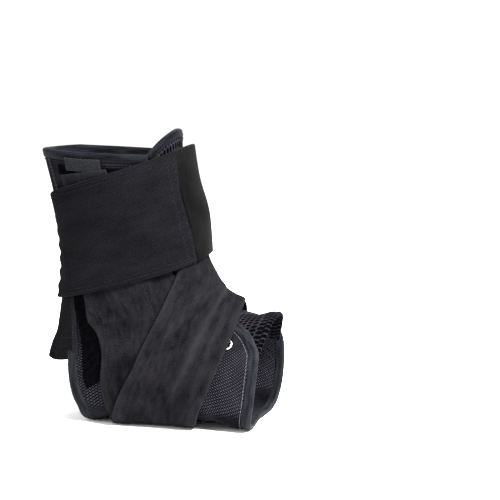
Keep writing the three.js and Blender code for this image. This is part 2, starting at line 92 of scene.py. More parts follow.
# front_x front_z back_x back_z half_width centre front_square back_square
FORM = np.array([
    [0.053, 1.143, -0.567, 1.12, 0.52, 0.5, 2.1, 2.2],
    [0.073, 1.017, -0.533, 0.994, 0.5, 0.5, 2.1, 2.2],
    [0.095, 0.891, -0.49, 0.834, 0.465, 0.5, 2.1, 2.2],
    [0.113, 0.766, -0.453, 0.674, 0.44, 0.5, 2.1, 2.2],
    [0.118, 0.669, -0.445, 0.537, 0.445, 0.5, 2.1, 2.2],
    [0.125, 0.587, -0.466, 0.389, 0.48, 0.48, 2.1, 2.2],
    [0.163, 0.521, -0.492, 0.229, 0.485, 0.48, 2.1, 2.3],
    [0.21, 0.464, -0.495, 0.046, 0.47, 0.5, 2.1, 2.6],
    [0.266, 0.43, -0.3, 0, 0.47, 0.6, 2.1, 4.4],
    [0.33, 0.411, -0.067, 0, 0.48, 0.66, 2.0, 3.6],
    [0.393, 0.405, 0.175, 0, 0.5, 0.68, 2.0, 3.6],
    [0.465, 0.395, 0.433, 0, 0.525, 0.7, 2.0, 3.6],
    [0.545, 0.375, 0.56, 0, 0.54, 0.7, 2.0, 3.6],
])
# front_station front_angle rear_station rear_angle
PANEL_EDGES = np.array([
    [1.44, 51, 1.17, 139], [2.0, 45, 2.0, 138], [3.1, 41, 3.1, 137], [3.8, 39, 3.8, 134.5],
    [4.45, 37, 4.45, 130], [4.9, 36, 4.9, 126.5], [5.4, 35, 5.4, 123], [6.0, 33, 5.95, 121],
    [6.65, 32, 6.55, 120.5], [7.1, 32, 6.92, 120], [7.6, 32, 7.32, 122], [8.0, 32, 7.72, 128],
    [8.35, 32, 8.06, 145], [8.7, 33, 8.24, 180], [9.05, 33.5, 8.5, 180], [9.4, 35, 9.05, 180],
    [9.88, 38, 9.62, 180], [10.35, 44, 10.15, 180], [10.72, 53, 10.76, 180],
])
PILE_EDGES = np.array([
    [1.54, 70, 1.36, 127], [3.0, 66, 3.0, 128], [4.6, 66, 4.7, 126],
    [6.0, 74, 5.8, 117], [6.9, 84, 6.6, 114], [7.5, 94, 7.3, 116],
])
# station angle
EYELETS = [(3.0, 55), (4.4, 50), (6.1, 46), (8.0, 45), (9.88, 52)]
REAR_SIDE = np.array([[1.17, 139], [2.0, 138], [3.2, 137], [4.3, 131], [5.2, 124.5], [6.4, 120.2]])
# station angle width lean
STRAP_PATH = np.array([
    [4.2, -18, 0.64, 0], [4.85, -11, 0.78, 0], [5.62, -3, 0.98, 0], [6.42, 7, 1.1, 0], [7.08, 20, 1.09, 0],
    [7.7, 36, 1.05, 0], [8.31, 54, 1.04, 0], [8.75, 72, 1.03, 0], [9.04, 90, 1, 0], [9.15, 112, 1, 0],
    [9.2, 140, 1, 0], [9.28, 180, 1, 0], [9.2, 220, 1, 0], [8.9, 246, 1, 0], [8.3, 267, 1, 0],
    [7.5, 281, 1, 0], [6.64, 287, 1, 0], [5.8, 286.3, 1.15, 0], [4.9, 279.6, 1.1, 0],
    [3.8, 268, 0.88, 0], [2.8, 262, 0.76, 0], [2.1, 258, 0.66, 5], [1.56, 256, 0.62, 9],
])
UNDER_PATH = STRAP_PATH * [1, -1, 1, -1]
# Inside the over strap's edge where both cross the instep, and uneven under the sole and up the outer side
UNDER_PATH[4:7, 2] = [0.88, 0.8, 0.88]
UNDER_PATH[11:18, 2] = [1.08, 1.18, 1.08, 0.93, 0.93, 1.08, 1.3]
HOOK_PATH = np.array([[1.55, 257.2, 0.47, 9], [1.4, 257.6, 0.47, 9], [1.24, 258, 0.47, 9]])
CUFF_PATH = np.array([
    [2.92, 300, 1, 0], [3.02, 280, 1, 0], [3.14, 255, 0.99, 0], [3.26, 225, 0.98, 0], [3.3, 200, 0.97, 0],
    [3.3, 180, 0.97, 0], [3.3, 160, 0.97, 0], [3.26, 135, 0.98, 0], [3.19, 112, 0.99, 0], [3.1, 90, 1, -1],
    [3.01, 70, 1.01, -3], [2.92, 50, 1.02, -6], [2.79, 27.2, 1.03, -9],
])
TAB_PATH = np.array([
    [2.8, 28.5, 1.03, -9], [2.7, 14, 1.03, -8], [2.64, -4, 1.02, -4],
    [2.66, -28, 1, 0], [2.74, -52, 0.95, 0], [2.84, -74, 0.88, 0],
])
# station crown half_angle
TONGUE_SIDES = np.array([
    [1.42, 0.64, 46], [2.2, 0.1, 54], [3.2, 0, 56], [4.4, 0, 56], [5.6, 0, 56],
    [6.8, 0, 55], [8.0, 0, 54], [9.2, 0, 54], [10.2, 0, 55], [10.95, -0.38, 54],
])


# Plain sums
def smooth(t):
    t = np.clip(t, 0, 1)
    return t * t * (3 - 2 * t)


def window(x, start, rise, end, fall):
    """One between start and end, with a soft rise after start and a soft fall before end."""
    return smooth((x - start) / rise) * smooth((end - x) / fall)


def hill(x, width):
    return np.exp(-((x / width) ** 2))


def lerp(a, b, t):
    return a + (b - a) * t


def unit(v):
    return v / np.linalg.norm(v, axis=-1, keepdims=True)


def between(rows, t):
    """Catmull-Rom through the rows of a table, one unit of t for each row."""
    last = len(rows) - 1
    at = np.clip(t, 0, last - 1e-9)
    i = np.floor(at).astype(int)
    s = (at - i)[..., None]
    a, b, c, d = (rows[np.clip(i + k, 0, last)] for k in (-1, 0, 1, 2))
    return 0.5 * (2 * b + (c - a) * s + (2 * a - 5 * b + 4 * c - d) * s**2 + (3 * b - a - 3 * c + d) * s**3)


# The form of the boot
NUDGE = 0.02
WALK_STEP = 4


def point(station, angle):
    station, angle = np.broadcast_arrays(np.asarray(station, float), np.asarray(angle, float))
    row = np.moveaxis(between(FORM, station), -1, 0)
    front_x, front_z, back_x, back_z, half, centre, front_square, back_square = row
    arch = smooth((station - ARCH_START) / ARCH_RISE) * smooth((ARCH_END - station) / ARCH_RISE)
    floor = PANEL + arch * STACK
    cos, sin = np.cos(np.radians(angle)), np.sin(np.radians(angle))
    power = np.where(cos >= 0, front_square, back_square)
    rho = (np.abs(cos) ** power + np.abs(sin) ** power) ** (-1 / power)
    share = np.where(cos >= 0, centre * (1 - rho * cos), centre - (1 - centre) * rho * cos)
    low = back_z * RIM_HEIGHT + floor - SOLE_FLATTEN
    x = lerp(front_x, back_x, share) * SOLE_REACH
    z = np.maximum(lerp(front_z * RIM_HEIGHT, low, share), floor)
    return np.stack([x, -half * BRACE_WIDTH * rho * sin, z], -1)


def slopes(station, angle):
    """Change of place for one station, change for one degree, and the outward normal."""
    along = (point(station + NUDGE, angle) - point(station - NUDGE, angle)) / (2 * NUDGE)
    round_ = (point(station, angle + 1) - point(station, angle - 1)) / 2
    return along, round_, unit(np.cross(round_, along))


def over(station, angle, height):
    p = point(station, angle) + slopes(station, angle)[2] * np.asarray(height)[..., None]
    p[..., 2] = np.maximum(p[..., 2], 0)
    return p


def walk(station, angle, direction, distance):
    """Places reached by going a distance over the form, in a direction that is kept."""
    station, angle, distance = np.broadcast_arrays(station, angle, distance)
    station, angle = station.astype(float), angle.astype(float)
    steps = max(1, int(math.ceil(np.abs(distance).max() / WALK_STEP)))
    for _ in range(steps):
        along, round_, normal = slopes(station, angle)
        way = unit(direction - normal * (direction * normal).sum(-1, keepdims=True))
        way = way * (distance / steps)[..., None]
        aa, ar, rr = (along * along).sum(-1), (along * round_).sum(-1), (round_ * round_).sum(-1)
        aw, rw = (along * way).sum(-1), (round_ * way).sum(-1)
        det = aa * rr - ar * ar
        station, angle = station + (rr * aw - ar * rw) / det, angle + (aa * rw - ar * aw) / det
    return station, angle


def lengths(points):
    """Running length along the first axis."""
    steps = np.linalg.norm(np.diff(points, axis=0), axis=-1)
    return np.concatenate([np.zeros((1, *steps.shape[1:])), np.cumsum(steps, 0)])


def widths(points):
    """Running length along the second axis."""
    return lengths(np.moveaxis(points, 1, 0)).T


def rows_at(at, run, rows):
    """Rows of a table at positions of their running length."""
    return np.stack([np.interp(at, run, column) for column in rows.T], -1)


def sides(station, angle):
    """Directions square to a line of places, to the left of its run seen from outside."""
    run = np.gradient(point(station, angle), axis=0)
    return unit(np.cross(slopes(station, angle)[2], run))


def turned(direction, normal, degrees):
    a = np.radians(degrees)[..., None]
    return direction * np.cos(a) + np.cross(normal, direction) * np.sin(a)


# Grids of places
EDGE_SHARES = np.array([0, 0.03, 0.12, 0.27, 0.5])
TRACE_POINTS = 1500
END_ROWS = 5


def spread(length, step, edge):
    """Positions from 0 to length, closer together where an edge is rounded."""
    rim = EDGE_SHARES * edge
    count = max(2, int(round((length - 2 * edge) / step)) + 1)
    return np.concatenate([rim, np.linspace(edge, length - edge, count), (length - rim)[::-1]])


def trace(path, step, edge):
    """Rows of a path table at even distances over the form, and those distances."""
    dense = between(path, np.linspace(0, len(path) - 1, TRACE_POINTS))
    run = lengths(point(dense[:, 0], dense[:, 1]))
    at = spread(run[-1], step, edge)
    return rows_at(at, run, dense), at


def soften(field, rounds):
    """Evens a field over a grid with its neighbours."""
    pads = [(1, 1), (1, 1)] + [(0, 0)] * (field.ndim - 2)
    for _ in range(rounds):
        f = np.pad(field, pads, mode="reflect", reflect_type="odd")
        field = (f[:-2, 1:-1] + f[2:, 1:-1] + f[1:-1, :-2] + f[1:-1, 2:] + 4 * field) / 8
    return field


def spanned(height, reach, rounds):
    """Height of a layer that spans the hollows between what is under it."""
    for _ in range(reach):
        f = np.pad(height, 1, mode="edge")
        height = np.maximum.reduce([f[:-2, 1:-1], f[2:, 1:-1], f[1:-1, :-2], f[1:-1, 2:], height])
    return soften(height, rounds)


def evened(places, rounds=40):
    """Evens places along the first axis, so that rows do not bunch in a bend. The end rows stay."""
    n = END_ROWS
    for _ in range(rounds):
        places[n:-n] = (places[n - 1 : -n - 1] + 2 * places[n:-n] + places[n + 1 : 1 - n]) / 4
    return places


class Grid:
    """Places in rows and columns, with cloth coordinates v along the rows' order and w across."""

    def __init__(self, station, angle, v, w):
        self.station, self.angle = station, angle
        self.v, self.w = np.broadcast_arrays(np.asarray(v, float), np.asarray(w, float))

    def flipped(self, turn):
        """The grid itself for 1, and its mirror image for -1."""
        return Grid(self.station, turn * self.angle, self.v, self.w)


def ribbon(path, width, step, edge):
    """Grid of an even band along a path table."""
    line, v = trace(path, step, edge)
    normal = slopes(line[:, 0], line[:, 1])[2]
    across = turned(sides(line[:, 0], line[:, 1]), normal, line[:, 3])
    share = 0.5 - spread(width, step, edge) / width
    distance = share[None, :] * width * line[:, 2:3]
    station, angle = walk(line[:, 0:1], line[:, 1:2], across[:, None, :], distance)
    return Grid(evened(station), evened(angle), v[:, None], distance)


def strip(station, angle, low, high, step=TAPE_STEP, edge=TAPE_EDGE):
    """Grid beside a line of places, between two distances from it."""
    line = np.stack([station, angle], -1)
    for _ in range(6):  # rounds the corners of the line
        line[1:-1] = (line[:-2] + 2 * line[1:-1] + line[2:]) / 4
    run = lengths(point(*line.T))
    at = spread(run[-1], step, edge)
    station, angle = rows_at(at, run, line).T
    distance = low + (high - low) * spread(1, 0.12, edge / abs(high - low))
    across = sides(station, angle)
    distances = np.tile(distance, (len(at), 1))
    s, a = walk(station[:, None], angle[:, None], across[:, None, :], distances)
    return Grid(s, a, at[:, None], distance[None, :])


def between_edges(edges, rows, step, edge, bulge=0.0):
    """Grid between a front and a rear edge given as a table. A bulge rounds its last rows."""
    ends = np.array([0, 0.0006, 0.0025, 0.006])
    t = np.concatenate([ends, np.linspace(0.012, 0.988, rows), [0.994, 0.9975, 0.9994, 1]])
    e = between(edges, t * (len(edges) - 1))
    e[:, 3] = np.minimum(e[:, 3], SOLE_SEAM)
    s = np.linspace(0, 1, 81)[None, :]
    push = bulge * smooth((t - 0.82) / 0.18)[:, None] * np.sin(math.pi * np.sqrt(s))
    fine_station = lerp(e[:, 0:1], e[:, 2:3], s) + push
    fine_angle = lerp(e[:, 1:2], e[:, 3:4], s)
    run = widths(point(fine_station, fine_angle))
    mean = run[:, -1].mean()
    share = spread(mean, step, edge) / mean

    def picked(field):
        return np.array([np.interp(share * r[-1], r, row) for r, row in zip(run, field)])

    station, angle = picked(fine_station), picked(fine_angle)
    p = point(station, angle)
    v = lengths(p)[:, p.shape[1] // 2]
    return Grid(station, angle, v[:, None], widths(p))


# Heights of the layers over the form
def turn_of(angle):
    """Degrees away from the front, on either side."""
    return np.abs((angle + 540) % 360 - 180)


def sole(station, angle):
    """One where the form faces the floor."""
    return smooth((-slopes(station, angle)[2][..., 2] - 0.82) / 0.15)


def ground(station, angle):
    """Height of the top of the panel and of the pile on it."""
    back = np.where(station < 6.5, smooth((150 - turn_of(angle)) / 20), 1)
    return PANEL + GAP + (PILE + NAP + GAP) * back * (1 - sole(station, angle))


OVER_LINE = trace(STRAP_PATH, 4.5, 1)[0]
UNDER_LINE = OVER_LINE * [1, -1, 1, -1]


def covered(line, station, angle):
    """One over a strap, falling to none beside it."""
    height = PANEL + PILE + STRAP
    track = over(line[:, 0], line[:, 1], np.full(len(line), height))
    p = over(station, angle, np.full(np.shape(station), height))
    nearest = np.full(p.shape[:-1], np.inf)
    for a, b, width in zip(track[:-1], track[1:], line[:-1, 2]):
        t = np.clip(((p - a) @ (b - a)) / ((b - a) @ (b - a)), 0, 1)
        gap = np.linalg.norm(p - a - t[..., None] * (b - a), axis=-1) - STRAP_WIDTH * width / 2
        nearest = np.minimum(nearest, gap)
    return 1 - smooth((nearest - DRAPE_FROM) / DRAPE)


def on(line, station, angle):
    """Height that a strap adds under a layer."""
    return (STEP + ROOM * (1 - sole(station, angle))) * covered(line, station, angle)


# Meshes and pieces
INNER = (slice(1, -1), slice(1, -1))


def make(name, verts, faces, material, stands_for=(), uv=None, marks=None):
    mesh = bpy.data.meshes.new(name)
    mesh.from_pydata(np.asarray(verts) * MILLIMETRE, [], faces)
    mesh.polygons.foreach_set("use_smooth", np.ones(len(mesh.polygons), bool))
    if uv is not None:
        corner = np.zeros(len(mesh.loops), np.int32)
        mesh.loops.foreach_get("vertex_index", corner)
        mesh.uv_layers.new(name="cloth").data.foreach_set("uv", uv[corner].astype(np.float32).ravel())
    for key, value in (marks or {}).items():
        mesh.attributes.new(key, "FLOAT", "POINT").data.foreach_set("value", value.astype(np.float32))
    mesh.materials.append(material)
    piece = bpy.data.objects.new(name, mesh)
    bpy.context.scene.collection.objects.link(piece)
    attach(piece, "root")
    if stands_for:
        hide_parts(*stands_for)
    return piece


def sheet_faces(kept):
    """Faces of a closed sheet: a top and an underside with one border, and walls round its holes."""
    rows, columns = kept.shape[0] + 1, kept.shape[1] + 1
    upper = np.arange(rows * columns).reshape(rows, columns)
    lower = upper.copy()
    lower[INNER] = rows * columns + np.arange((rows - 2) * (columns - 2)).reshape(rows - 2, columns - 2)

    def cells(k):
        return np.stack([k[:-1, :-1], k[1:, :-1], k[1:, 1:], k[:-1, 1:]], -1)[kept]

    def wall(a, b, flipped):
        corners = [int(upper[a]), int(upper[b]), int(lower[b]), int(lower[a])]
        return corners[::-1] if flipped else corners

    faces = [*cells(upper).tolist(), *cells(lower)[:, ::-1].tolist()]
    for i, j in np.argwhere(kept[1:] != kept[:-1]):
        faces.append(wall((i + 1, j), (i + 1, j + 1), kept[i, j]))
    for i, j in np.argwhere(kept[:, 1:] != kept[:, :-1]):
        faces.append(wall((i, j + 1), (i + 1, j + 1), not kept[i, j]))
    return faces


def distance_from_rim(base):
    down, right = lengths(base), widths(base)
    return np.minimum(np.minimum(down, down[-1:] - down), np.minimum(right, right[:, -1:] - right))


class Cloth:
    """Closed sheet over a grid, between two heights, with rounded edges. It keeps its top for stitches."""

    def __init__(self, name, grid, low, high, material, slot, stands_for=(), keep=None, marks=None):
        shape = rows, columns = grid.station.shape
        low, high = np.broadcast_to(low, shape), np.broadcast_to(high, shape)
        base = point(grid.station, grid.angle)
        normal = unit(soften(slopes(grid.station, grid.angle)[2], 12))
        rim = distance_from_rim(base)
        radius = np.maximum(high - low, 1e-6) / 2
        full = np.sqrt(np.clip(1 - (1 - np.clip(rim / radius, 0, 1)) ** 2, 0, 1))
        middle, half = (low + high) / 2, (high - low) / 2 * full
        top = base + normal * (middle + half)[..., None]
        under = base + normal * (middle - half)[..., None]
        top[..., 2], under[..., 2] = np.maximum(top[..., 2], 0.02), np.maximum(under[..., 2], 0)
        cells = (base[1:, 1:] + base[:-1, :-1]) / 2
        faces = sheet_faces(keep(cells) if keep else np.ones(cells.shape[:2], bool))
        i, j = rows // 2, columns // 2
        a, b, c = top[i, j], top[i + 1, j], top[i, j + 1]
        if np.cross(b - a, c - a) @ normal[i, j] < 0:
            faces = [f[::-1] for f in faces]

        def both(values):
            return np.concatenate([values.ravel(), values[INNER].ravel()])

        uv = np.stack([both(grid.w), both(grid.v)], -1)
        marks = {key: both(np.broadcast_to(value, shape)) for key, value in (marks or {}).items()}
        # Share of the way in from the edge; the strap and tape looks paint their edges lighter with it, a
        # painted highlight.
        marks["rim"] = both(np.clip(rim / 6, 0, 1))
        verts = np.concatenate([top.reshape(-1, 3), under[INNER].reshape(-1, 3)])
        self.grid, self.top, self.normal = grid, top, normal
        self.piece = make(name, verts, faces, material, stands_for, uv, marks)

    def at(self, v, w):
        """Points of the top and outward directions at cloth coordinates."""
        v, w = np.broadcast_arrays(np.asarray(v, float), np.asarray(w, float))
        rows = self.grid.v[:, 0]
        i = np.clip(np.searchsorted(rows, v) - 1, 0, len(rows) - 2)
        share = np.clip((v - rows[i]) / (rows[i + 1] - rows[i]), 0, 1)
        points, normals = [], []
        for k, s, x in zip(i.ravel(), share.ravel(), w.ravel()):
            columns = lerp(self.grid.w[k], self.grid.w[k + 1], s)
            if columns[0] > columns[-1]:
                columns, x = -columns, -x
            j = int(np.clip(np.searchsorted(columns, x) - 1, 0, len(columns) - 2))
            t = np.clip((x - columns[j]) / (columns[j + 1] - columns[j]), 0, 1)
            for field, out in ((self.top, points), (self.normal, normals)):
                near = lerp(field[k, j], field[k, j + 1], t)
                far = lerp(field[k + 1, j], field[k + 1, j + 1], t)
                out.append(lerp(near, far, s))
        return np.array(points), unit(np.array(normals))


# Thread
THREADS = {}
THREAD_SIDES = 6
# share of the stitch, lift and size of each ring of one stitch
STITCH_RINGS = [(0, -0.7, 0.3), (0.14, 0.1, 0.85), (0.5, 0.35, 1), (0.86, 0.1, 0.85), (1, -0.7, 0.3)]


def dashes(points, normals, pitch, length):
    """Ends and outward directions of even stitches along a line."""
    run = lengths(points)
    starts = np.arange(0.4, run[-1] - length, pitch)
    ends = rows_at(starts, run, points), rows_at(starts + length, run, points)
    return *ends, rows_at(starts + length / 2, run, normals)


def sew(kind, ends, radius):
    THREADS.setdefault(kind, []).append((*ends, np.full(len(ends[0]), radius)))


def sew_line(kind, cloth, line, pitch, length, radius):
    """Stitches along a line of cloth coordinates."""
    line = np.array(line, float)
    run = lengths(line)
    at = np.linspace(0, run[-1], max(3, int(run[-1] / 1.2)))
    sew(kind, dashes(*cloth.at(*rows_at(at, run, line).T), pitch, length), radius)


def sew_zigzag(kind, cloth, line, swing=1.1, pitch=1.5, radius=0.22):
    """Zigzag stitches along a line of cloth coordinates."""
    line = np.array(line, float)
    run = lengths(line)
    at = np.arange(0, run[-1], pitch)
    v, w = rows_at(at, run, line).T
    way = unit(np.stack([np.gradient(v), np.gradient(w)], -1))
    side = np.where(np.arange(len(at)) % 2, swing, -swing)
    p, n = cloth.at(v - way[:, 1] * side, w + way[:, 0] * side)
    sew(kind, (p[:-1], p[1:], unit(n[:-1] + n[1:])), radius)


def sew_edge(kind, station, angle, distance, height, pitch, length, radius):
    """Stitches beside a line of places of the form."""
    s, a = walk(station, angle, sides(station, angle), np.full(len(station), float(distance)))
    sew(kind, dashes(over(s, a, np.full(len(s), height)), slopes(s, a)[2], pitch, length), radius)


def thread_piece(kind, material):
    """One piece of all stitches of a kind."""
    a, b, n, radius = (np.concatenate(x) for x in zip(*THREADS[kind]))
    along = b - a
    side = unit(np.cross(n, along))
    up = unit(np.cross(along, side))
    points = []
    for share, lift, size in STITCH_RINGS:
        centre = a + along * share + n * (lift * radius)[:, None]
        for k in range(THREAD_SIDES):
            f = TURN * k / THREAD_SIDES
            points.append(centre + (side * math.cos(f) + up * math.sin(f)) * (size * radius)[:, None])
    count = len(points)
    last = count - THREAD_SIDES
    faces = []
    for base in range(0, len(a) * count, count):
        for q in range(base, base + last, THREAD_SIDES):
            for k in range(THREAD_SIDES):
                following = (k + 1) % THREAD_SIDES
                faces.append([q + k, q + following, q + THREAD_SIDES + following, q + THREAD_SIDES + k])
        faces.append([base + k for k in reversed(range(THREAD_SIDES))])
        faces.append([base + last + k for k in range(THREAD_SIDES)])
    return make(kind, np.stack(points, 1).reshape(-1, 3), faces, material)


# Materials, over the cloth coordinates in millimetres
class Shade:
    def __init__(self, name, roughness, sheen=0.0, metallic=0.0, specular=0.0):
        self.material = bpy.data.materials.new(name)
        self.material.use_nodes = True
        self.nodes, self.links = self.material.node_tree.nodes, self.material.node_tree.links
        self.shader = self.nodes["Principled BSDF"]
        self.shader.inputs["Roughness"].default_value = roughness
        self.shader.inputs["Metallic"].default_value = metallic
        self.shader.inputs["Specular IOR Level"].default_value = specular if metallic == 0 else 0.5
        self.shader.inputs["Sheen Weight"].default_value = sheen
        self.place = self.nodes.new("ShaderNodeUVMap")
        self.place.uv_map = "cloth"
        split = self.nodes.new("ShaderNodeSeparateXYZ")
        self.links.new(self.place.outputs[0], split.inputs[0])
        self.w, self.v = split.outputs[0], split.outputs[1]

    def maths(self, kind, *values):
        node = self.nodes.new("ShaderNodeMath")
        node.operation = kind
        for socket, value in zip(node.inputs, values):
            if isinstance(value, (int, float)):
                socket.default_value = value
            else:
                self.links.new(value, socket)
        return node.outputs[0]

    def mixed(self, *terms):
        """Sum of sockets times weights."""
        total = self.maths("MULTIPLY", *terms[0])
        for socket, weight in terms[1:]:
            total = self.maths("MULTIPLY_ADD", socket, weight, total)
        return total

    def wave(self, coordinate, period):
        return self.maths("SINE", self.maths("MULTIPLY", coordinate, TURN / period))

    def diagonal(self, lean=1.0):
        return self.maths("MULTIPLY_ADD", self.w, lean, self.v)

    def noise(self, size, detail=2.0, rough=0.5, stretch=None):
        node = self.nodes.new("ShaderNodeTexNoise")
        node.inputs["Scale"].default_value = 1 / size
        node.inputs["Detail"].default_value = detail
        node.inputs["Roughness"].default_value = rough
        source = self.place.outputs[0]
        if stretch:
            mapping = self.nodes.new("ShaderNodeMapping")
            mapping.inputs["Scale"].default_value = (*stretch, 1)
            self.links.new(source, mapping.inputs["Vector"])
            source = mapping.outputs[0]
        self.links.new(source, node.inputs["Vector"])
        return node.outputs[0]

    def solid_noise(self, scale):
        """Noise in the object's own metres, for pieces without cloth coordinates."""
        node = self.nodes.new("ShaderNodeTexNoise")
        node.inputs["Scale"].default_value = scale
        coordinates = self.nodes.new("ShaderNodeTexCoord")
        self.links.new(coordinates.outputs["Object"], node.inputs["Vector"])
        return node.outputs[0]

    def mark(self, name):
        node = self.nodes.new("ShaderNodeAttribute")
        node.attribute_name = name
        return node.outputs["Fac"]

    def colour(self, factor, dark, light, low, high):
        """Colour from dark where the factor is low to light where it is high."""
        ramp = self.nodes.new("ShaderNodeValToRGB")
        first, last = ramp.color_ramp.elements
        first.position, last.position = low, high
        first.color, last.color = (*dark, 1), (*light, 1)
        self.links.new(factor, ramp.inputs[0])
        self.links.new(ramp.outputs[0], self.shader.inputs["Base Color"])

    def relief(self, height, depth):
        """Depth is in millimetres."""
        bump = self.nodes.new("ShaderNodeBump")
        bump.inputs["Distance"].default_value = depth * MILLIMETRE
        bump.inputs["Strength"].default_value = 1
        self.links.new(height, bump.inputs["Height"])
        self.links.new(bump.outputs[0], self.shader.inputs["Normal"])


def strap_material():
    s = Shade("strap_cloth", 0.88, sheen=0.01)
    nap = s.noise(0.648, 2.16, 0.468)
    broad = s.noise(26, 3, 0.6)
    brushed = s.noise(3.2, 2, 0.6, stretch=(1.0, 0.35))
    rim, crest = s.mark("rim"), s.mark("crest")
    # Lighter where the crest mark is high: a painted highlight on the ridges and folds. Lighter towards the
    # edges through the rim mark: a painted highlight on the rounded edges.
    tone = s.mixed((broad, 0.6), (brushed, 0.45), (nap, 0.45), (rim, -0.12), (crest, 0.22))
    s.colour(tone, (0.0017, 0.0016, 0.002), (0.0092, 0.0089, 0.0103), 0.48, 0.9)
    s.relief(s.mixed((nap, 0.6), (brushed, 0.5)), 0.35)
    return s.material


def cuff_material():
    s = Shade("cuff_elastic", 0.85, sheen=0.01)
    rib = s.wave(s.w, 1.15)
    cross = s.wave(s.maths("MULTIPLY_ADD", s.wave(s.w, 2.3), 0.3, s.v), 0.9)
    knit = s.maths("MULTIPLY", rib, cross)
    broad = s.noise(18, 3, 0.6, stretch=(1.4, 0.5))
    fine = s.noise(1.2, 2, 0.6)
    tone = s.mixed((broad, 0.45), (fine, 0.3), (rib, 0.08), (knit, 0.06))
    s.colour(tone, (0.0012, 0.0012, 0.0016), (0.0062, 0.0061, 0.0074), 0.2, 0.62)
    s.relief(s.mixed((rib, 0.5), (knit, 0.35), (fine, 0.5)), 0.22)
    return s.material


def tab_material():
    s = Shade("tab_satin", 0.5, specular=0.008)
    twill = s.wave(s.diagonal(0.6), 0.7)
    broad = s.noise(22, 3, 0.55)
    tone = s.mixed((broad, 0.8), (twill, 0.05))
    s.colour(tone, (0.0016, 0.0015, 0.0015), (0.0046, 0.0043, 0.0044), 0.3, 0.65)
    s.relief(s.mixed((twill, 0.5), (s.noise(0.7, 2), 0.6)), 0.12)
    return s.material


def panel_material():
    s = Shade("panel_mesh", 0.65, sheen=0.01)
    # The plain mark fades the mesh pattern, leaving plain, darker cloth.
    mesh_pattern_share = s.maths("SUBTRACT", 1, s.mark("plain"))
    twill = s.maths("MULTIPLY", s.wave(s.diagonal(1.0), 2.6), mesh_pattern_share)
    dots = s.maths("MULTIPLY", twill, s.wave(s.diagonal(-1.0), 2.6))
    broad = s.noise(15, 3, 0.5)
    tone = s.mixed((dots, 0.85), (twill, 0.35), (broad, 0.4))
    s.colour(tone, (0.0002, 0.0002, 0.0004), (0.031, 0.03, 0.039), 0.1, 0.85)
    s.relief(s.mixed((dots, 0.7), (s.noise(0.6, 2), 0.4)), 0.35)
    return s.material


def rear_material():
    s = Shade("rear_elastic", 0.78, sheen=0.01)
    weave = s.wave(s.diagonal(0.55), 1.3)
    cross = s.wave(s.diagonal(-1.6), 1.9)
    broad = s.noise(14, 3, 0.6)
    tone = s.mixed((weave, 0.6), (cross, 0.3), (broad, 0.6))
    s.colour(tone, (0.0002, 0.0002, 0.0003), (0.0082, 0.0083, 0.01), 0.12, 0.85)
    s.relief(s.mixed((weave, 0.6), (cross, 0.3)), 0.25)
    return s.material


def pile_material():
    s = Shade("loop_pile", 0.98)
    loops = s.noise(0.4, 1.5, 0.375)
    clumps = s.noise(4.5, 3, 0.6)
    tone = s.mixed((loops, 0.6), (clumps, 0.4))
    s.colour(tone, (0.0003, 0.0003, 0.0004), (0.0036, 0.0035, 0.0045), 0.38, 0.8)
    s.relief(loops, 0.9)
    return s.material


def tape_material(name, dark, light):
    s = Shade(name, 0.6, sheen=0.01, specular=0.02)
    rib = s.wave(s.v, 1.6)
    painted_sheen_streaks = s.noise(5, 3, 0.6, stretch=(1.8, 0.3))
    # Lighter streaks along the tape are a painted satin sheen, and the edges are painted lighter through the
    # rim mark as a highlight on the rolled edges.
    s.colour(s.mixed((rib, 0.02), (painted_sheen_streaks, 0.9), (s.mark("rim"), -0.25)), dark, light, 0.2, 0.52)
    s.relief(s.mixed((rib, 0.12), (s.noise(0.9, 2), 0.5)), 0.14)
    return s.material


def tongue_material():
    s = Shade("tongue_honeycomb", 0.7, sheen=0.01)
    # Darker in the cells through the hole mark: painted shade in their recesses.
    tone = s.mixed((s.mark("hole"), -0.75), (s.noise(12, 3, 0.6), 0.5))
    s.colour(tone, (0.0006, 0.0005, 0.0008), (0.021, 0.0195, 0.025), 0.0, 0.42)
    s.relief(s.noise(0.44, 2.4, 0.56), 0.2)
    return s.material


def lace_material():
    s = Shade("lace_braid", 0.8, sheen=0.01)
    braid = s.maths("MULTIPLY", s.wave(s.diagonal(1.0), 1.0), s.wave(s.diagonal(-1.0), 1.0))
    s.colour(braid, (0.00252, 0.00252, 0.00294), (0.00756, 0.00756, 0.0084), 0.3, 0.9)
    s.relief(braid, 0.25)
    return s.material


def hook_material():
    s = Shade("hook_patch", 0.6, sheen=0.03)
    hooks = s.maths("MULTIPLY", s.wave(s.w, 1.25), s.wave(s.v, 1.25))
    fuzz = s.noise(0.36, 1.35, 0.338)
    tone = s.mixed((hooks, 0.2), (fuzz, 0.9))
    s.colour(tone, (0.0022, 0.0026, 0.0031), (0.0165, 0.0178, 0.02), 0.25, 0.7)
    s.relief(s.mixed((hooks, 0.5), (fuzz, 0.8)), 0.6)
    return s.material


def thread_material(name, dark, light):
    s = Shade(name, 0.6, sheen=0.02)
    s.colour(s.solid_noise(900), dark, light, 0.3, 0.7)
    return s.material


def nickel_material():
    s = Shade("nickel", 0.26, metallic=1.0)
    s.colour(s.solid_noise(700), (0.62, 0.61, 0.6), (0.8, 0.79, 0.78), 0.35, 0.7)
    return s.material


strap_look, cuff_look, tab_look = strap_material(), cuff_material(), tab_material()
panel_look, rear_look, pile_look = panel_material(), rear_material(), pile_material()
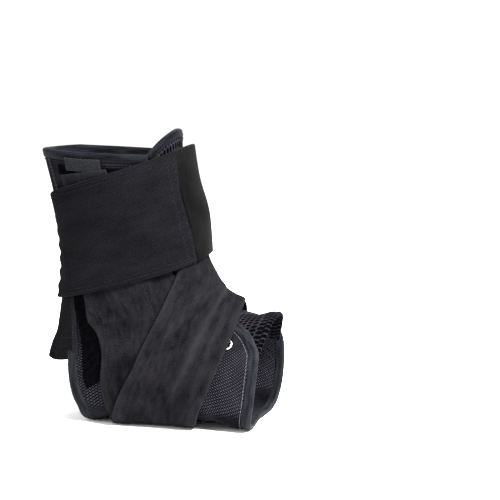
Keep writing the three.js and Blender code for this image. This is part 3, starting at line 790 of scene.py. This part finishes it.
# The light ends of both tape colours make the painted sheen streaks and edge highlights.
tape_look = tape_material("binding_tape", (0.0012, 0.0014, 0.002), (0.0115, 0.0122, 0.0152))
dark_tape_look = tape_material("rim_tape", (0.0003, 0.0004, 0.0007), (0.0055, 0.0062, 0.0084))
tongue_look, lace_look, hook_look = tongue_material(), lace_material(), hook_material()
grey_thread = thread_material("grey_thread", (0.03, 0.03, 0.035), (0.07, 0.072, 0.08))
dark_thread = thread_material("dark_thread", (0.0012, 0.0012, 0.0016), (0.009, 0.009, 0.011))
dim_thread = thread_material("dim_thread", (0.004, 0.004, 0.005), (0.0115, 0.0115, 0.013))
nickel_look = nickel_material()
rng = np.random.default_rng(7)

# Side panels with their eyelets, bindings, pile and stitches
PANEL_GRID = between_edges(PANEL_EDGES, 170, 1.25, PANEL, 0.14)
PILE_GRID = between_edges(PILE_EDGES, 110, 1.1, 1.2)
EYELET_CUT = 2.9
RING_SIDES = 40
# radius and height of the ring's outline
RING_OUTLINE = [
    (2.0, -0.5), (2.0, 2.3), (2.08, 2.62), (2.35, 2.86), (2.75, 2.92), (3.2, 2.78), (3.5, 2.45), (3.6, 2.05),
    (3.6, 1.9), (2.6, 1.7), (2.5, 0.3), (3.4, -0.1), (3.5, -0.4), (3.0, -0.62), (2.3, -0.66),
]


def clear_of_eyelets(turn):
    centres = np.array([point(s, turn * a) for s, a in EYELETS])

    def keep(cells):
        return (np.linalg.norm(cells[:, :, None] - centres, axis=-1) > EYELET_CUT).all(-1)

    return keep


def side_panel(side, turn):
    """Mesh cloth with a slight puff. Its mesh pattern fades to plain, darker cloth near the floor and higher
    up.
    """
    grid = PANEL_GRID.flipped(turn)
    puff = 0.12 * np.sin(grid.v / 11) * np.sin(grid.w / 8)
    height = point(grid.station, grid.angle)[..., 2]
    plain = np.maximum(smooth((15 - height) / 5), 0.8 * smooth((height - 44) / 10))
    return Cloth(f"{side}_panel_cloth", grid, puff, PANEL + puff, panel_look, "side_panel",
                 [f"{side}_panel"], keep=clear_of_eyelets(turn), marks={"plain": plain})


def loop_pile(side, turn):
    grid = PILE_GRID.flipped(turn)
    fuzz = rng.uniform(-0.16, 0.16, grid.station.shape)
    Cloth(f"{side}_pile", grid, PANEL + NAP, PANEL + GAP + PILE + fuzz, pile_look, "loop_pile",
          [f"{side}_loop_pile"])


def front_tape(side, turn):
    """Binding down the eyelet edge and round the front of the sole, with a grey line of stitches."""
    station = np.concatenate([PANEL_GRID.station[:, 0], PANEL_GRID.station[-1, 1:]])
    angle = turn * np.concatenate([PANEL_GRID.angle[:, 0], PANEL_GRID.angle[-1, 1:]])
    tape = strip(station, angle, -turn * 1.6, turn * (GAP + TAPE_WIDTH))
    wave = 0.08 * np.sin(tape.v / 4.3)
    Cloth(f"{side}_front_tape", tape, TAPE_LOW - 0.05 + wave, TAPE_HIGH + 0.1 + wave, tape_look,
          "binding", [f"{side}_front_binding"])
    sew_edge("grey_stitches", station, angle, -turn * 2.4, STITCH_HEIGHT, 2.2, 2.0, 0.27)


def eyelet_ring(name, station, angle, stands_for):
    along, _, normal = slopes(np.float64(station), np.float64(angle))
    x = unit(along - normal * (along @ normal))
    y = np.cross(normal, x)
    base = point(station, angle)
    n = len(RING_OUTLINE)
    verts, faces = [], []
    for k in range(RING_SIDES):
        f = TURN * k / RING_SIDES
        a, b = k * n, (k + 1) % RING_SIDES * n
        for j, (radius, height) in enumerate(RING_OUTLINE):
            verts.append(base + (x * math.cos(f) + y * math.sin(f)) * radius + normal * height)
            following = (j + 1) % n
            faces.append([a + following, b + following, b + j, a + j])
    make(name, verts, faces, nickel_look, stands_for)


def eyelet_row(side, turn):
    for k, (station, angle) in enumerate(EYELETS, 1):
        eyelet_ring(f"{side}_eyelet_ring_{k}", station, turn * angle, [f"{side}_eyelet_{k}"])


# Elastic at the back, gathered at its hem, and the tapes over its seams
REAR_LINE = between(REAR_SIDE, np.linspace(0, len(REAR_SIDE) - 1, 400))
REAR_WIDTH = 80
FOLD_WIDTH = 6.1
FRILL_WIDTH = 3.3
SEAM_ROWS = 398


def rear_grid():
    """Grid from seam to seam, whose hem rises towards the middle."""
    run = lengths(point(*REAR_LINE.T))
    at = spread(run[-1], 1.3, PANEL)
    side_station, side_angle = (rows_at(at, run, REAR_LINE) + [0, 0.3]).T[..., None]
    s = spread(REAR_WIDTH, 1.0, PANEL) / REAR_WIDTH
    rise = 0.28 * smooth((side_station - 4.8) / 1.6)
    station = side_station - rise * np.sin(math.pi * s)
    angle = lerp(side_angle, 360 - side_angle, s)
    return Grid(station, angle, at[:, None], widths(point(station, angle)))


REAR_GRID = rear_grid()


def rear_elastic():
    station, angle, v, w = REAR_GRID.station, REAR_GRID.angle, REAR_GRID.v, REAR_GRID.w
    low_down = smooth((station - 5.45) / 0.6)
    behind = window(angle, 125, 35, 235, 35)
    turns = TURN * w / FOLD_WIDTH
    folds = 0.75 + 0.26 * np.cos(turns + 0.6 * np.sin(v / 5))
    tucks = 0.35 * smooth((station - 4.6) / 1.4) * np.cos(turns)
    frill = 0.8 * smooth((v - v.max() + 5) / 4) * np.sin(TURN * w / FRILL_WIDTH + v / 2)
    lift = (RUFFLE * low_down * folds + tucks + frill) * behind
    return Cloth("rear_elastic_cloth", REAR_GRID, lift, PANEL + lift, rear_look, "rear_elastic",
                 ["rear_elastic_panel"])


def seam_tape(side, turn):
    station, angle = REAR_LINE[:SEAM_ROWS, 0], turn * (REAR_LINE[:SEAM_ROWS, 1] + 0.2)
    cover = strip(station, angle, -2.3, 2.3, edge=0.5)
    Cloth(f"{side}_seam_tape", cover, PANEL - 0.1, PANEL + 0.5, dark_tape_look, "binding")
    for off in (-1.7, 1.7):
        sew_edge("dim_stitches", station, angle, off, PANEL + 0.55, 2.4, 1.8, 0.26)


# Tapes round the rim and the heel opening
def rim_tape():
    front_station, front_angle = PANEL_GRID.station[0], PANEL_GRID.angle[0]
    station = np.concatenate([front_station, REAR_GRID.station[0, 3:-3], front_station[::-1]])
    angle = np.concatenate([front_angle, REAR_GRID.angle[0, 3:-3], 360 - front_angle[::-1]])
    tape = strip(station, angle, TAPE_OUTSIDE, -GAP - TAPE_WIDTH)
    wave = 0.1 * np.sin(tape.v / 5.1) + 0.06 * np.sin(tape.v / 2.3)
    Cloth("rim_tape", tape, TAPE_LOW + wave, TAPE_HIGH + 0.15 + wave, dark_tape_look, "binding",
          ["top_binding"])
    sew_edge("dim_stitches", station, angle, 2.2, STITCH_HEIGHT, 2.5, 1.9, 0.28)


def heel_tape():
    """Binding from one rear seam down the heel edge, under the heel and up to the other seam."""
    station, angle = PANEL_GRID.station[:, -1], PANEL_GRID.angle[:, -1]
    beside = (station > 6.2) & (station < 8.3) & (angle < 179)
    station, angle = station[beside], angle[beside]
    station = np.concatenate([station, [8.25], station[::-1]])
    angle = np.concatenate([angle, [180], 360 - angle[::-1]])
    tape = strip(station, angle, TAPE_OUTSIDE, -GAP - HEEL_TAPE_WIDTH)
    Cloth("heel_tape", tape, TAPE_LOW, TAPE_HIGH + 0.1 + 0.1 * np.sin(tape.v / 4), tape_look, "binding",
          ["heel_binding"])
    sew_edge("dim_stitches", station, angle, 2.6, STITCH_HEIGHT, 2.4, 1.8, 0.28)


# Straps with their hook patches
STRAP_GRID = ribbon(STRAP_PATH, STRAP_WIDTH, 1.5, STRAP)
HOOK_GRID = ribbon(HOOK_PATH, STRAP_WIDTH, 0.8, 0.8)


def under_strap():
    """Strap next to the panels, gathered where it comes up under the cuff."""
    grid = ribbon(UNDER_PATH, STRAP_WIDTH, 1.5, STRAP)
    grid.w = -grid.w
    v, w = grid.v, grid.w
    base = ground(grid.station, grid.angle)
    gather = 0.45 * window(v, 252, 8, 290, 10) * hill(w - 11.5, 7)
    soft = 0.12 + 0.12 * np.sin(w / 6 + v / 22) * np.sin(v / 13)
    folds = soft + gather * (0.5 + 0.5 * np.sin(v + np.sin(w / 3)))
    lift = folds * (1 - sole(grid.station, grid.angle))
    return Cloth("under_strap_cloth", grid, base, base + STRAP + lift, strap_look, "strap", ["under_strap"])


def strap_folds(grid):
    """A ridge and soft folds along the part over the instep and the outer side."""
    v, w = grid.v, grid.w
    crest = np.interp(v, [30, 40, 54, 67, 79, 93, 125], [11, 9, 6, 5.6, 7, 7.4, 5])
    ridge = 2.2 * window(v, 26, 14, 128, 40) * hill(w - crest, 2.7)
    crest = np.interp(v, [50, 61, 76, 90, 120], [13, 14.8, 16.3, 17.8, 20])
    second = 1.3 * window(v, 46, 14, 122, 30) * hill(w - crest, 2.6)
    third = window(v, 30, 20, 118, 40) * hill(w + 11 + (v - 60) * 0.12, 4.5)
    soft = 0.3 * np.sin(w / 6.5 + v / 27) * np.sin(v / 15) + 0.12 * np.sin(w / 3.1 - v / 12)
    lip = 0.3 * hill(STRAP_WIDTH / 2 - np.abs(w), 1.6)
    return ridge + second + third + soft + lip


def over_strap():
    station, angle = STRAP_GRID.station, STRAP_GRID.angle
    base = spanned(ground(station, angle) + on(UNDER_LINE, station, angle), 3, 24)
    lift = np.maximum(strap_folds(STRAP_GRID) * (1 - sole(station, angle)), 0)
    # The crest mark, the lift of the ridges and folds, is painted lighter in the strap look as a highlight.
    return Cloth("over_strap_cloth", STRAP_GRID, base, base + STRAP + lift, strap_look, "strap",
                 ["over_strap"], marks={"crest": np.clip(lift / 1.6, 0, 1)})


def hook_patch(side, grid):
    fuzz = rng.uniform(-0.15, 0.25, grid.station.shape)
    low = PANEL + PILE + GAP
    Cloth(f"{side}_hook_patch", grid, low, low + GAP + HOOKS + fuzz, hook_look, "hook_tab",
          [f"{side}_hook_tab"])


# Elastic cuff and its tab
CUFF_GRID = ribbon(CUFF_PATH, CUFF_WIDTH, 1.35, CUFF)
CUFF_LENGTH = CUFF_GRID.v[-1, 0]
CUFF_HALF = CUFF_WIDTH / 2 * 0.985
SELVEDGE_LINES = (2.0, 4.4)
CUFF_FOLD = np.array([[123, 34], [121.5, 25], [118, 6], [116, -14], [117, -34]])


def cuff_base(station, angle):
    return ground(station, angle) + on(UNDER_LINE, station, angle) + on(OVER_LINE, station, angle)


def elastic_cuff():
    """Elastic band with scallops behind, corded selvedges and one crease across it."""
    station, angle, v, w = CUFF_GRID.station, CUFF_GRID.angle, CUFF_GRID.v, CUFF_GRID.w
    back = smooth((turn_of(angle) - 140) / 24)
    scallops = 0.5 + 0.5 * np.cos(TURN * w / 9)
    gathers = SCALLOP * back * smooth(station - 2.3) * scallops
    selvedge = sum(0.22 * hill(np.abs(w) - CUFF_HALF + line, 0.55) for line in SELVEDGE_LINES)
    off = v - np.interp(w, CUFF_FOLD[::-1, 1], CUFF_FOLD[::-1, 0])
    crease = (0.45 * hill(off + 2.8, 1.5) - 0.55 * hill(off, 0.9)) * (0.8 + 0.2 * np.cos(w * 2.1))
    relief = 0.12 * np.sin(v / 13) * np.sin(w / 9) + crease + selvedge
    base = spanned(cuff_base(station, angle), 3, 30) + gathers
    return Cloth("cuff_cloth", CUFF_GRID, base, base + CUFF + relief, cuff_look, "cuff_elastic",
                 ["cuff_band"])


def satin_tab():
    """Tab sewn to the cuff's front end. Its free end lies over the cuff's start on the inner side."""
    grid = ribbon(TAB_PATH, CUFF_WIDTH, 1.4, TAB)
    station, angle = grid.station, grid.angle
    start = smooth((-angle - 26) / 10) * (CUFF + GAP + ROOM)
    corner = smooth((station - 3.2) / 1.4) * window(angle, -30, 24, 28, 20)
    base = spanned(cuff_base(station, angle), 8, 120) + start + 0.3 * corner
    soft = 0.25 * np.sin(grid.v / 12 + 1) * np.sin(grid.w / 14 + 0.5)
    return Cloth("tab_cloth", grid, base, base + TAB + soft, tab_look, "tab", ["cuff_tab"])


# Stitches on the cuff, the under strap and the rear elastic
def stitch_cuff(cuff):
    for line in SELVEDGE_LINES:
        for sign in (-1, 1):
            ends = [(4, sign * (CUFF_HALF - line)), (CUFF_LENGTH - 3, sign * (CUFF_HALF - line + 0.6))]
            sew_line("cuff_stitches", cuff, ends, 1.9, 1.3, 0.2)
    sew_line("cuff_stitches", cuff, CUFF_FOLD, 2.7, 1.7, 0.34)
    for off in (2.2, 6.4):
        ends = [(CUFF_LENGTH - off, 1.5 - CUFF_HALF), (CUFF_LENGTH - off, CUFF_HALF - 1.5)]
        sew_zigzag("tab_stitches", cuff, ends)


def stitch_under_strap(under):
    for w in (-23.3, -20.6):
        line = [(228, w + 1.5), (245, w), (270, w - 1.4), (292, w - 1.2)]
        sew_line("strap_stitches", under, line, 2.2, 1.6, 0.22)
    for line in ([(242, -20), (245, -6)], [(233, -21.5), (238, -2)], [(244.5, -20), (247.5, -6)]):
        sew_line("strap_stitches", under, line, 2.0, 1.5, 0.22)
    for w in (9.6, 13.4):
        sew_zigzag("strap_stitches", under, [(256, w), (270, w), (284, w + 0.8)], 0.7, 1.3, 0.2)


def stitch_rear(rear):
    hem = rear.grid.w[-20].max()
    for v in (117.5, 122.5):
        sew_line("rear_stitches", rear, [(v, 2), (v, hem - 2)], 2.4, 1.7, 0.24)


# Honeycomb tongue with a bound top, and the lace over it
TONGUE_STEP = 0.72
TONGUE_WIDTH = 84
CELL_PITCH = 3.3
CELL_ROW = CELL_PITCH * math.sqrt(3) / 2
CELL_RADIUS = 1.45


def tongue_grid():
    line = between(TONGUE_SIDES, np.linspace(0, len(TONGUE_SIDES) - 1, 900))
    run = lengths(point(line[:, 0], 0))
    at = spread(run[-1], TONGUE_STEP, TONGUE)
    middle_station, crown, half_angle = rows_at(at, run, line).T[..., None]
    s = 1 - 2 * spread(TONGUE_WIDTH, TONGUE_STEP, TONGUE) / TONGUE_WIDTH
    station = middle_station - crown * (1 - s * s)
    angle = s * half_angle
    w = widths(point(station, angle))
    middle = w.shape[1] // 2
    return Grid(station, angle, at[:, None], w - w[:, middle : middle + 1])


TONGUE_GRID = tongue_grid()


def tongue_lie(station, angle):
    """Height of the tongue's top, with a flared tip and a crown that stands off a little."""
    tip = smooth((station - 9.9) / 1.4) * smooth((48 - np.abs(angle)) / 26)
    crown = smooth((1.3 - station) / 0.8) * smooth((40 - np.abs(angle)) / 25)
    return -2.4 + 5 * tip + crown


def cell_distance(x, y):
    """Distance to the middle of the nearest cell."""
    nearest = np.full(x.shape, np.inf)
    for shift in (0, 0.5):
        cell_x = (np.round(x / CELL_PITCH - shift) + shift) * CELL_PITCH
        cell_y = (np.round(y / (2 * CELL_ROW) - shift) + shift) * 2 * CELL_ROW
        nearest = np.minimum(nearest, np.hypot(x - cell_x, y - cell_y))
    return nearest


def honeycomb_tongue():
    hole = smooth((CELL_RADIUS - cell_distance(TONGUE_GRID.w, TONGUE_GRID.v)) / 0.8)
    lie = tongue_lie(TONGUE_GRID.station, TONGUE_GRID.angle)
    # The hole mark also paints the cells darker in the tongue look, as shade in the recesses.
    return Cloth("tongue_cloth", TONGUE_GRID, lie - TONGUE, lie - 0.9 * hole, tongue_look, "tongue_mesh",
                 ["tongue"], marks={"hole": hole})


def tongue_tape():
    tape = strip(TONGUE_GRID.station[0], TONGUE_GRID.angle[0], -1.2, GAP + TAPE_WIDTH, 1.3)
    lie = tongue_lie(tape.station, tape.angle)
    lines = 0.28 * np.cos(TURN * tape.w / 2.1)
    Cloth("tongue_tape", tape, lie - TONGUE - 0.2, lie + 0.35 + lines, dark_tape_look, "binding",
          ["tongue_binding"])


def lace():
    """Flat braid from pair to pair under the eyelet edges."""
    path = []
    for k, (station, angle) in enumerate(EYELETS[:4][::-1]):
        side = -1 if k % 2 else 1
        path.append((station, side * (angle - 3), 1, 0))
        path.append((station - 0.35, side * (angle - 9), 1, 0))
        path.append((station - 0.8, 0, 1, 0))
    grid = ribbon(np.array(path[:-1], float), LACE_WIDTH, 0.9, 1.0)
    top = TAPE_LOW - GAP
    Cloth("lace_cloth", grid, top - LACE, top, lace_look, "lace", ["lace"])


# The brace
for side, turn in SIDES:
    side_panel(side, turn)
    loop_pile(side, turn)
    front_tape(side, turn)
    eyelet_row(side, turn)
rear = rear_elastic()
for side, turn in SIDES:
    seam_tape(side, turn)
rim_tape()
heel_tape()
lower_strap = under_strap()
upper_strap = over_strap()
hook_patch("medial", HOOK_GRID)
hook_patch("lateral", HOOK_GRID.flipped(-1))
cuff = elastic_cuff()
tab = satin_tab()
stitch_cuff(cuff)
stitch_under_strap(lower_strap)
stitch_rear(rear)
tongue = honeycomb_tongue()
tongue_tape()
lace()


thread_piece("grey_stitches", grey_thread)
thread_piece("dim_stitches", dim_thread)
thread_piece("cuff_stitches", dark_thread)
thread_piece("tab_stitches", dark_thread)
thread_piece("strap_stitches", dim_thread)
thread_piece("rear_stitches", dim_thread)

# Floor, light and camera, in metres
FLOOR_HALF = 4
FLOOR_BELOW = 0.0003
WORLD_LIGHT = 1.02
LIT_PLACE = (0, 0, 0.08)
CAMERA_AROUND, CAMERA_ABOVE = math.radians(14), math.radians(7)
CAMERA_TARGET, CAMERA_DISTANCE = Vector((0.055, 0, 0.1105)), 0.9
LENS, SENSOR_WIDTH = 101.25, 36


def pale_floor():
    h = FLOOR_HALF
    mesh = bpy.data.meshes.new("floor")
    mesh.from_pydata([(-h, -h, 0), (h, -h, 0), (h, h, 0), (-h, h, 0)], [], [(0, 1, 2, 3)])
    floor = bpy.data.objects.new("floor", mesh)
    bpy.context.scene.collection.objects.link(floor)
    floor.location.z = -FLOOR_BELOW
    pale = bpy.data.materials.new("pale_floor")
    pale.use_nodes = True
    shader = pale.node_tree.nodes["Principled BSDF"]
    shader.inputs["Base Color"].default_value = (0.92, 0.92, 0.92, 1)
    shader.inputs["Roughness"].default_value = 0.9
    mesh.materials.append(pale)


def facing(direction):
    return direction.to_track_quat("-Z", "Y").to_euler()


def area_light(name, place, size, power):
    data = bpy.data.lights.new(name, "AREA")
    data.shape, data.size, data.energy = "DISK", size, power
    lamp = bpy.data.objects.new(name, data)
    bpy.context.scene.collection.objects.link(lamp)
    lamp.location = place
    lamp.rotation_euler = facing(Vector(LIT_PLACE) - Vector(place))


def studio_world():
    world = bpy.data.worlds.new("studio")
    bpy.context.scene.world = world
    world.use_nodes = True
    background = world.node_tree.nodes["Background"]
    background.inputs["Color"].default_value = (1, 1, 1, 1)
    background.inputs["Strength"].default_value = WORLD_LIGHT


def set_camera():
    flat = math.cos(CAMERA_ABOVE)
    away = Vector((math.sin(CAMERA_AROUND) * flat, -math.cos(CAMERA_AROUND) * flat, math.sin(CAMERA_ABOVE)))
    data = bpy.data.cameras.new("camera")
    data.lens, data.sensor_width = LENS, SENSOR_WIDTH
    camera = bpy.data.objects.new("camera", data)
    bpy.context.scene.collection.objects.link(camera)
    camera.location = CAMERA_TARGET + away * CAMERA_DISTANCE
    camera.rotation_euler = facing(-away)
    bpy.context.scene.camera = camera


pale_floor()
area_light("key", (1.05, -0.6, 1.3), 0.55, 170)
area_light("fill", (-1.2, -0.9, 0.7), 1.2, 18)
area_light("back", (0.2, 1.4, 1.0), 1.2, 30)
studio_world()
bpy.context.scene.view_settings.view_transform = "Standard"
set_camera()
